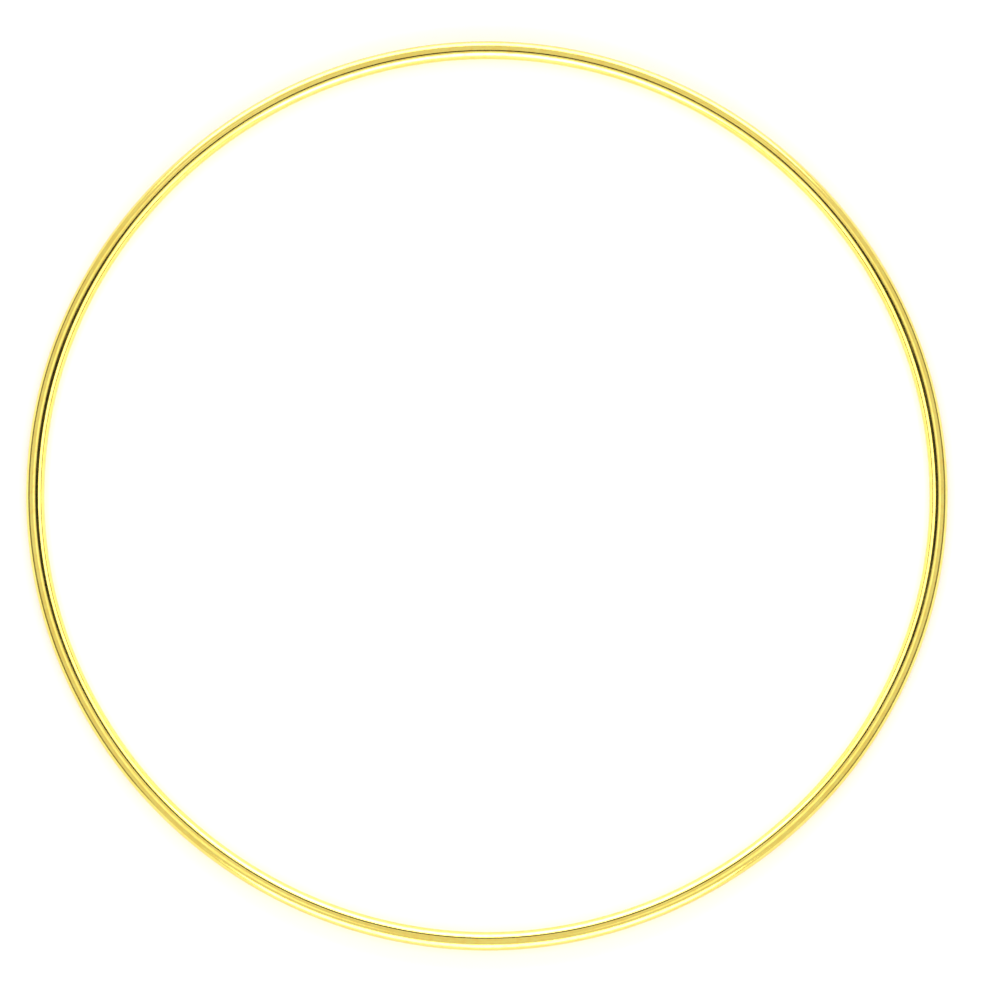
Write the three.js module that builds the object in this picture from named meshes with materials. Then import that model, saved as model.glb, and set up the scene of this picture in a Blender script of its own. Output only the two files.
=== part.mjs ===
// Wreath frame: a flower hoop of plated round steel wire, bent into a circle and butt-welded.
//
// Millimetres, +Z up. The hoop lies flat on its side on the plane z = 0, with its axis along +Z
// and its centre over the origin. +Y is the top of the hoop when it hangs, and the weld that
// closes the ring is at +X.

import * as THREE from "three";

// Driving dimensions
const OUTER_DIAMETER = 150;
const WIRE_DIAMETER = 3;
const WELD_LENGTH = 1.6;
const WELD_CROWN = 0.03;

// How finely the round shapes are cut
const WIRE_SIDES = 16;
const HOOP_STEPS = 144;
const WELD_STEPS = 6;

// Worked out from the above
const WIRE_RADIUS = WIRE_DIAMETER / 2;
const CENTRE_LINE_RADIUS = OUTER_DIAMETER / 2 - WIRE_RADIUS;
const WELD_HALF_ANGLE = WELD_LENGTH / 2 / CENTRE_LINE_RADIUS;

const GOLD_PLATE = { color: 0xf6e079, metalness: 1, roughness: 0.14 };
const GOLD_PLATE_ON_WELD = { color: 0xf2db76, metalness: 1, roughness: 0.18 };

// The wire's centre line from one angle to another, anticlockwise from +X.
class CentreLine extends THREE.Curve {
  constructor(startAngle, endAngle) {
    super();
    this.startAngle = startAngle;
    this.endAngle = endAngle;
  }

  angleAt(t) {
    return THREE.MathUtils.lerp(this.startAngle, this.endAngle, t);
  }

  getPoint(t, target = new THREE.Vector3()) {
    const angle = this.angleAt(t);
    return target.set(
      CENTRE_LINE_RADIUS * Math.cos(angle),
      CENTRE_LINE_RADIUS * Math.sin(angle),
      WIRE_RADIUS,
    );
  }

  getTangent(t, target = new THREE.Vector3()) {
    const angle = this.angleAt(t);
    return target.set(-Math.sin(angle), Math.cos(angle), 0);
  }
}

// The wire's section: a polygon whose flats, not its corners, are one wire diameter apart. Two of
// its flats are level, so the hoop rests on the lower one.
function wireSection() {
  const cornerRadius = WIRE_RADIUS / Math.cos(Math.PI / WIRE_SIDES);
  const corners = [];
  for (let i = 0; i < WIRE_SIDES; i++) {
    const angle = ((i + 0.5) / WIRE_SIDES) * 2 * Math.PI;
    const corner = new THREE.Vector2(Math.cos(angle), Math.sin(angle));
    corners.push(corner.multiplyScalar(cornerRadius));
  }
  return new THREE.Shape(corners);
}

function sweptWire(centreLine, steps) {
  return new THREE.ExtrudeGeometry(wireSection(), { extrudePath: centreLine, steps });
}

// Widens the weld in and out of the ring, most in its middle and not at all where it meets the
// wire. Its upper and lower sides are ground flush, so its height stays the wire's.
function crown(weld) {
  const position = weld.getAttribute("position");
  const point = new THREE.Vector3();
  for (let i = 0; i < position.count; i++) {
    point.fromBufferAttribute(position, i);
    const angle = Math.atan2(point.y, point.x);
    const ringRadius = Math.hypot(point.x, point.y);
    const sideways = (ringRadius - CENTRE_LINE_RADIUS) / WIRE_RADIUS;
    const along = Math.min(1, Math.abs(angle) / WELD_HALF_ANGLE);
    const grown = ringRadius + sideways * WELD_CROWN * (1 - along * along);
    position.setXY(i, grown * Math.cos(angle), grown * Math.sin(angle));
  }
  weld.computeVertexNormals();
  return weld;
}

function named(name, geometry, finish) {
  const mesh = new THREE.Mesh(geometry, new THREE.MeshStandardMaterial(finish));
  mesh.name = name;
  return mesh;
}

// One length of wire, bent round from one side of the weld to the other.
function hoopWire() {
  const centreLine = new CentreLine(WELD_HALF_ANGLE, 2 * Math.PI - WELD_HALF_ANGLE);
  return named("hoop_wire", sweptWire(centreLine, HOOP_STEPS), GOLD_PLATE);
}

// The fused metal between the wire's two ends, face to face with both.
function buttWeld() {
  const centreLine = new CentreLine(-WELD_HALF_ANGLE, WELD_HALF_ANGLE);
  return named("butt_weld", crown(sweptWire(centreLine, WELD_STEPS)), GOLD_PLATE_ON_WELD);
}

const wreathFrame = new THREE.Group();
wreathFrame.add(hoopWire(), buttWeld());

export default wreathFrame;
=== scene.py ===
"""Wreath frame: a hoop of gold-plated round wire, butt-welded, lying on a white studio floor.

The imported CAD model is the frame. Two finely swept pieces stand for its two nodes: the bent wire
and the weld that closes it. Metres, +Z up, the ring's axis along +Z, the weld at +X.
"""

import math

import bpy
import numpy as np
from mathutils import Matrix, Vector


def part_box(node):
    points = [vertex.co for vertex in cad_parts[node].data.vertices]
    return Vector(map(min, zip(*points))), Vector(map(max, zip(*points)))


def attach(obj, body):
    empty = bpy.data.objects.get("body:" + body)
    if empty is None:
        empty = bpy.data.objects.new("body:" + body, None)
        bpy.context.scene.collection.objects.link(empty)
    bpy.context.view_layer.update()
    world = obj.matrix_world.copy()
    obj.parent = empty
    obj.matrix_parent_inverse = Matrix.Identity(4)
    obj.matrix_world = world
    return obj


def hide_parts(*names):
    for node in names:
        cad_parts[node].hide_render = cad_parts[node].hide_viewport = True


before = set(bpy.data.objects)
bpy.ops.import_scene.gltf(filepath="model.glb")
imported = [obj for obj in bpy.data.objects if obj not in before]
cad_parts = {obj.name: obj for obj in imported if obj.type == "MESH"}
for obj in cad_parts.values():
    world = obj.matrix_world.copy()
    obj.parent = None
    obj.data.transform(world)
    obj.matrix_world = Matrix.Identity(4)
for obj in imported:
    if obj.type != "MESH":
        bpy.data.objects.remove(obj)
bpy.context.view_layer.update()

MM = 0.001

# The wire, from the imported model
HOOP_LOW, HOOP_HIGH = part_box("hoop_wire")
WELD_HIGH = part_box("butt_weld")[1]
WIRE_RADIUS = (HOOP_HIGH.z - HOOP_LOW.z) / 2
OUTER_RADIUS = -HOOP_LOW.x
RING_RADIUS = OUTER_RADIUS - WIRE_RADIUS
WELD_HALF_ANGLE = math.asin(WELD_HIGH.y / OUTER_RADIUS)
WELD_CROWN = WELD_HIGH.x - OUTER_RADIUS
HOOP_MIDDLE = Vector((0, 0, WIRE_RADIUS))

# How finely the wire is swept
WIRE_SIDES = 48
HOOP_STEPS = 900
WELD_STEPS = 24

# How a bent hoop differs from a true circle. Each wave has its count round the hoop, its phase
# and its height.
FLATTENED_DIAGONALS = 0.18 * MM
BENDING_WAVES = ((5, 0.4, 0.018 * MM), (9, 2.1, 0.010 * MM), (14, 4.4, 0.006 * MM))

# How much of the weld's crown the grinding leaves
GROUND_CROWN = 0.25

# The plate on the wire and on the weld: its colour where it is bright, its colour where it is a
# little thicker, its roughness, and how deep its fine relief is
WIRE_PLATE = ((0.95, 0.765, 0.18, 1), (0.90, 0.69, 0.13, 1), 0.12, 0.0022 * MM)
WELD_PLATE = ((0.93, 0.745, 0.175, 1), (0.87, 0.665, 0.13, 1), 0.15, 0.003 * MM)

# The plate's patterns: noise cells a metre along the wire and each way across it, how many
# finer layers the noise has, and how strong they are
DIE_LINES = ((60, 9000, 9000), 3.0, 0.5)
ORANGE_PEEL = ((1800, 2200, 2200), 1.0, 0.5)
THICKNESS_DRIFT = ((45, 160, 160), 2.0, 0.5)
RUBBED_HAIRLINES = ((700, 14000, 14000), 4.0, 0.65)
HANDLING_HAZE = ((130, 420, 420), 3.0, 0.5)
MOTTLING = ((900, 2600, 2600), 2.0, 0.5)

# Where in its noise each effect starts and where it is at its full strength
DEEP_GOLD_RANGE = (0.32, 0.68)
REDDER_RANGE = (0.52, 0.66)
GREENER_RANGE = (0.48, 0.34)
DIE_LINE_RANGE = (0.48, 0.30)
HAIRLINE_RANGE = (0.60, 0.70)
HAZE_RANGE = (0.45, 0.72)

# What the patterns do to the plate's colour, roughness and relief
REDDER = (1.04, 0.94, 0.90)
GREENER = (0.97, 1.03, 1.05)
DARKER = (0.72, 0.72, 0.72)
MOST_MOTTLING = 0.7
MOST_DIE_LINE_TONE = 0.16
HAZE_ROUGHNESS = 0.045
HAIRLINE_ROUGHNESS = 0.06
DIE_LINE_RELIEF = 0.35
PEEL_RELIEF = 0.5
HAIRLINE_RELIEF = 0.12

# The clear lacquer
LACQUER_WEIGHT = 0.4
LACQUER_ROUGHNESS = 0.06

# The camera. It aims a little to the side of the hoop's middle, so the hoop is off centre.
LENS_MM = 135
SENSOR_MM = 36
CAMERA_ELEVATION = math.radians(80.6)
VIEW_WIDTH = 162.8 * MM
AIM = Vector((2.23 * MM, -2.22 * MM, WIRE_RADIUS))
CAMERA_DISTANCE = VIEW_WIDTH * LENS_MM / SENSOR_MM
NEAREST_SEEN = 0.01
FARTHEST_SEEN = 100

# The studio: a white room, soft white lamps, and plain flags for the metal to mirror
ROOM_LIGHT = 0.84
FLOOR_SIZE = 40.0
WHITE = (1, 1, 1, 1)
FLOOR_COLOUR = (0.92, 0.92, 0.92, 1)
BLACK = (0.01, 0.01, 0.01, 1)
GREY = (0.18, 0.18, 0.18, 1)
# Each has its size and its middle, and a lamp has the brightness that it adds to the room's
LOW_LAMP = ((92 * MM, 92 * MM), (0, 0, 28 * MM), 1.7)
WING_LAMP = ((500 * MM, 1200 * MM), (430 * MM, 0, 1500 * MM), 0.5)
WALL_LAMP = ((2200 * MM, 1050 * MM), (0, 1500 * MM, 545 * MM), 3.4)
OVERHEAD_FLAG = ((112 * MM, 38 * MM), (0, 25 * MM, 144 * MM))
SIDE_FLAG = ((2200 * MM, 600 * MM), (1500 * MM, 0, 320 * MM))


# ---------------------------------------------------------------- meshes


def ring_point(angle, radius, height):
    """The points of circles about the ring's axis, from arrays of the same shape."""
    return np.stack([radius * np.cos(angle), radius * np.sin(angle), height], axis=-1)


def centre_line_radius(angle):
    """A hoop comes off the bending rolls slightly flat between its four quarters, and wavy.

    The waves fade out at the weld, where the wire's two ends have to meet.
    """
    radius = RING_RADIUS - FLATTENED_DIAGONALS * np.sin(2 * angle) ** 2
    away_from_weld = np.sin(angle / 2) ** 2
    for count, phase, height in BENDING_WAVES:
        radius = radius + away_from_weld * height * np.sin(count * angle + phase)
    return radius


def weld_swelling(angle):
    """How far the weld stands proud of the wire: a low crown, ground down and blended out."""
    along = np.clip(np.abs(angle) / WELD_HALF_ANGLE, 0, 1)
    return GROUND_CROWN * WELD_CROWN * (1 - along**2) ** 2


def swept_wire(name, start, end, steps, swelling=np.zeros_like):
    """Round wire along the ring from one angle to another, capped at both ends.

    Each point keeps where it was before the wire was bent, as the attribute "unrolled": how far
    along the wire, and its two offsets from the wire's middle.
    """
    along_ring = np.linspace(start, end, steps + 1)
    round_wire = np.arange(WIRE_SIDES) / WIRE_SIDES * 2 * math.pi
    angle, section = np.meshgrid(along_ring, round_wire, indexing="ij")
    sideways = (WIRE_RADIUS + swelling(angle)) * np.sin(section)
    upward = WIRE_RADIUS * np.cos(section)
    points = ring_point(angle, centre_line_radius(angle) + sideways, WIRE_RADIUS + upward)
    mesh = capped_tube(name, points)

    unrolled = with_end_points(np.stack([RING_RADIUS * angle, sideways, upward], axis=-1))
    attribute = mesh.attributes.new("unrolled", "FLOAT_VECTOR", "POINT")
    attribute.data.foreach_set("vector", unrolled.astype(np.float32).ravel())
    mesh.shade_smooth()
    return mesh


def with_end_points(rings):
    """The rings of a tube, with its first and last repeated for the end faces."""
    return np.concatenate([rings, rings[:1], rings[-1:]])


def capped_tube(name, points):
    """A tube over a grid of points (along, round, xyz), with a flat face at each end.

    The end faces have end points of their own, so that they and the round side are shaded apart,
    and the weld meets the wire without a line.
    """
    along, around = points.shape[:2]
    faces = []
    for i in range(along - 1):
        for j in range(around):
            a, b, k = i * around, (i + 1) * around, (j + 1) % around
            faces.append((a + j, a + k, b + k, b + j))
    first_end = range(along * around, (along + 1) * around)
    last_end = range((along + 1) * around, (along + 2) * around)
    faces += [tuple(reversed(first_end)), tuple(last_end)]
    mesh = bpy.data.meshes.new(name)
    mesh.from_pydata(with_end_points(points).reshape(-1, 3).tolist(), [], faces)
    return mesh


def rectangle(name, width, height):
    x, y = width / 2, height / 2
    mesh = bpy.data.meshes.new(name)
    mesh.from_pydata([(-x, -y, 0), (x, -y, 0), (x, y, 0), (-x, y, 0)], [], [(0, 1, 2, 3)])
    return mesh


def add_object(name, data):
    thing = bpy.data.objects.new(name, data)
    bpy.context.scene.collection.objects.link(thing)
    return thing


# ---------------------------------------------------------------- materials


class Nodes:
    """Short calls for building a material's node tree."""

    def __init__(self, name):
        self.material = bpy.data.materials.new(name)
        self.material.use_nodes = True
        self.tree = self.material.node_tree
        self.tree.nodes.clear()

    def add(self, kind, inputs, **settings):
        """A node with its settings, and its inputs given as values or as other nodes' outputs."""
        node = self.tree.nodes.new(kind)
        for key, value in settings.items():
            setattr(node, key, value)
        for key, value in inputs.items():
            if isinstance(value, bpy.types.NodeSocket):
                self.tree.links.new(value, node.inputs[key])
            else:
                node.inputs[key].default_value = value
        return node

    def math(self, operation, *values):
        inputs = dict(enumerate(values))
        return self.add("ShaderNodeMath", inputs, operation=operation).outputs[0]

    def noise(self, place, pattern):
        """Noise from 0 to 1, in one of the plate's patterns."""
        cells, detail, roughness = pattern
        inputs = {0: place, 1: cells}
        scaled = self.add("ShaderNodeVectorMath", inputs, operation="MULTIPLY").outputs[0]
        inputs = {"Vector": scaled, "Scale": 1.0, "Detail": detail, "Roughness": roughness}
        return self.add("ShaderNodeTexNoise", inputs).outputs["Fac"]

    def spread(self, value, start, full, most=1.0):
        """Grows from 0 where the value is at its start to most where it is full, and no further."""
        inputs = {0: value, 1: start, 2: full, 3: 0.0, 4: most}
        return self.add("ShaderNodeMapRange", inputs, clamp=True).outputs[0]

    def mix(self, share, a, b):
        inputs = {0: share, 6: a, 7: b}
        return self.add("ShaderNodeMix", inputs, data_type="RGBA").outputs[2]


def tinted(colour, tint):
    return tuple(c * k for c, k in zip(colour, tint)) + (1,)


def plated_metal(name, light_gold, deep_gold, roughness, relief):
    """Bright gold-coloured plate over drawn wire, with its drawing lines, haze and fine wear."""
    n = Nodes(name)
    unrolled = n.add("ShaderNodeAttribute", {}, attribute_name="unrolled").outputs["Vector"]

    # Lines that the drawing die leaves: centimetres long, a tenth of a millimetre apart
    die_lines = n.noise(unrolled, DIE_LINES)
    # The skin of the plate and its lacquer: a faint orange peel, half a millimetre across
    peel = n.noise(unrolled, ORANGE_PEEL)
    # Slow changes in the plate's thickness along the wire
    drift = n.noise(unrolled, THICKNESS_DRIFT)
    # Short rubbed hairlines from packing and handling
    hairlines = n.spread(n.noise(unrolled, RUBBED_HAIRLINES), *HAIRLINE_RANGE)
    # Haze that handling leaves in patches
    haze = n.spread(n.noise(unrolled, HANDLING_HAZE), *HAZE_RANGE)
    # Mottling in the plate, half a millimetre across, some of it redder and some greener
    mottle = n.noise(unrolled, MOTTLING)

    colour = n.mix(n.spread(drift, *DEEP_GOLD_RANGE), light_gold, deep_gold)
    redder_share = n.spread(mottle, *REDDER_RANGE, MOST_MOTTLING)
    colour = n.mix(redder_share, colour, tinted(deep_gold, REDDER))
    greener_share = n.spread(mottle, *GREENER_RANGE, MOST_MOTTLING)
    colour = n.mix(greener_share, colour, tinted(light_gold, GREENER))
    line_tone = n.spread(die_lines, *DIE_LINE_RANGE, MOST_DIE_LINE_TONE)
    colour = n.mix(line_tone, colour, tinted(deep_gold, DARKER))

    hazy = n.math("MULTIPLY_ADD", haze, HAZE_ROUGHNESS, roughness)
    rough = n.math("MULTIPLY_ADD", hairlines, HAIRLINE_ROUGHNESS, hazy)

    height = n.math("MULTIPLY", die_lines, DIE_LINE_RELIEF)
    height = n.math("ADD", height, n.math("MULTIPLY", peel, PEEL_RELIEF))
    height = n.math("SUBTRACT", height, n.math("MULTIPLY", hairlines, HAIRLINE_RELIEF))
    bump = n.add("ShaderNodeBump", {"Height": height, "Strength": 1.0, "Distance": relief})

    inputs = {
        "Base Color": colour,
        "Metallic": 1.0,
        "Roughness": rough,
        "Normal": bump.outputs["Normal"],
        "Coat Weight": LACQUER_WEIGHT,
        "Coat Roughness": LACQUER_ROUGHNESS,
    }
    shader = n.add("ShaderNodeBsdfPrincipled", inputs)
    n.add("ShaderNodeOutputMaterial", {"Surface": shader.outputs[0]})
    return n.material


def plain_material(name, colour):
    n = Nodes(name)
    shader = n.add("ShaderNodeBsdfDiffuse", {"Color": colour})
    n.add("ShaderNodeOutputMaterial", {"Surface": shader.outputs[0]})
    return n.material


# ---------------------------------------------------------------- the studio


def camera():
    data = bpy.data.cameras.new("camera")
    data.sensor_width = SENSOR_MM
    data.lens = LENS_MM
    data.clip_start = NEAREST_SEEN
    data.clip_end = FARTHEST_SEEN
    towards = Vector((0, math.cos(CAMERA_ELEVATION), -math.sin(CAMERA_ELEVATION)))
    thing = add_object("camera", data)
    thing.location = AIM - towards * CAMERA_DISTANCE
    turn(thing, towards)
    bpy.context.scene.camera = thing
    bpy.context.scene.view_settings.view_transform = "Standard"


def room():
    world = bpy.data.worlds.new("white_room")
    world.use_nodes = True
    background = world.node_tree.nodes["Background"]
    background.inputs["Color"].default_value = WHITE
    background.inputs["Strength"].default_value = ROOM_LIGHT
    bpy.context.scene.world = world


def floor():
    ground = add_object("studio_floor", rectangle("studio_floor", FLOOR_SIZE, FLOOR_SIZE))
    ground.data.materials.append(plain_material("studio_floor_white", FLOOR_COLOUR))


def turn(thing, direction):
    """Points a camera, lamp or flag along a direction."""
    thing.rotation_mode = "QUATERNION"
    thing.rotation_quaternion = direction.to_track_quat("-Z", "Y")


def hang(thing, place, faces_hoop):
    """Puts a lamp or flag in its place, out of the camera's sight.

    It faces the hoop's middle, or else straight down.
    """
    thing.location = place
    if faces_hoop:
        turn(thing, HOOP_MIDDLE - Vector(place))
    thing.visible_camera = False


def lamp(name, shape, rig, faces_hoop=False):
    """A soft white lamp, evenly bright all over."""
    size, place, brightness = rig
    data = bpy.data.lights.new(name, "AREA")
    data.shape = shape
    data.size, data.size_y = size
    area = size[0] * size[1] * (math.pi / 4 if shape == "ELLIPSE" else 1)
    data.energy = brightness * math.pi * area
    hang(add_object(name, data), place, faces_hoop)


def flag(name, colour, rig, faces_hoop=False):
    """A plain card of one colour."""
    size, place = rig
    card = add_object(name, rectangle(name, *size))
    card.data.materials.append(plain_material(name + "_card", colour))
    hang(card, place, faces_hoop)


def mirrored(rig):
    """The same lamp or flag on the other side of the hoop."""
    size, (x, y, z), *brightness = rig
    return (size, (-x, -y, z), *brightness)


def studio():
    lamp("low_lamp", "ELLIPSE", LOW_LAMP)
    lamp("lamp_right", "RECTANGLE", WING_LAMP)
    lamp("lamp_left", "RECTANGLE", mirrored(WING_LAMP))
    lamp("lamp_behind", "RECTANGLE", WALL_LAMP, faces_hoop=True)
    lamp("lamp_before", "RECTANGLE", mirrored(WALL_LAMP), faces_hoop=True)
    flag("overhead_flag", BLACK, OVERHEAD_FLAG)
    flag("flag_right", GREY, SIDE_FLAG, faces_hoop=True)
    flag("flag_left", GREY, mirrored(SIDE_FLAG), faces_hoop=True)


# ---------------------------------------------------------------- the wreath frame


def hoop_wire():
    start, end = WELD_HALF_ANGLE, 2 * math.pi - WELD_HALF_ANGLE
    wire = add_object("plated_hoop_wire", swept_wire("plated_hoop_wire", start, end, HOOP_STEPS))
    wire.data.materials.append(plated_metal("gold_plate_on_wire", *WIRE_PLATE))
    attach(wire, "root")
    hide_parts("hoop_wire")


def butt_weld():
    start, end = -WELD_HALF_ANGLE, WELD_HALF_ANGLE
    mesh = swept_wire("plated_butt_weld", start, end, WELD_STEPS, weld_swelling)
    weld = add_object("plated_butt_weld", mesh)
    weld.data.materials.append(plated_metal("gold_plate_on_weld", *WELD_PLATE))
    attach(weld, "root")
    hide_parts("butt_weld")


camera()
room()
floor()
studio()
hoop_wire()
butt_weld()
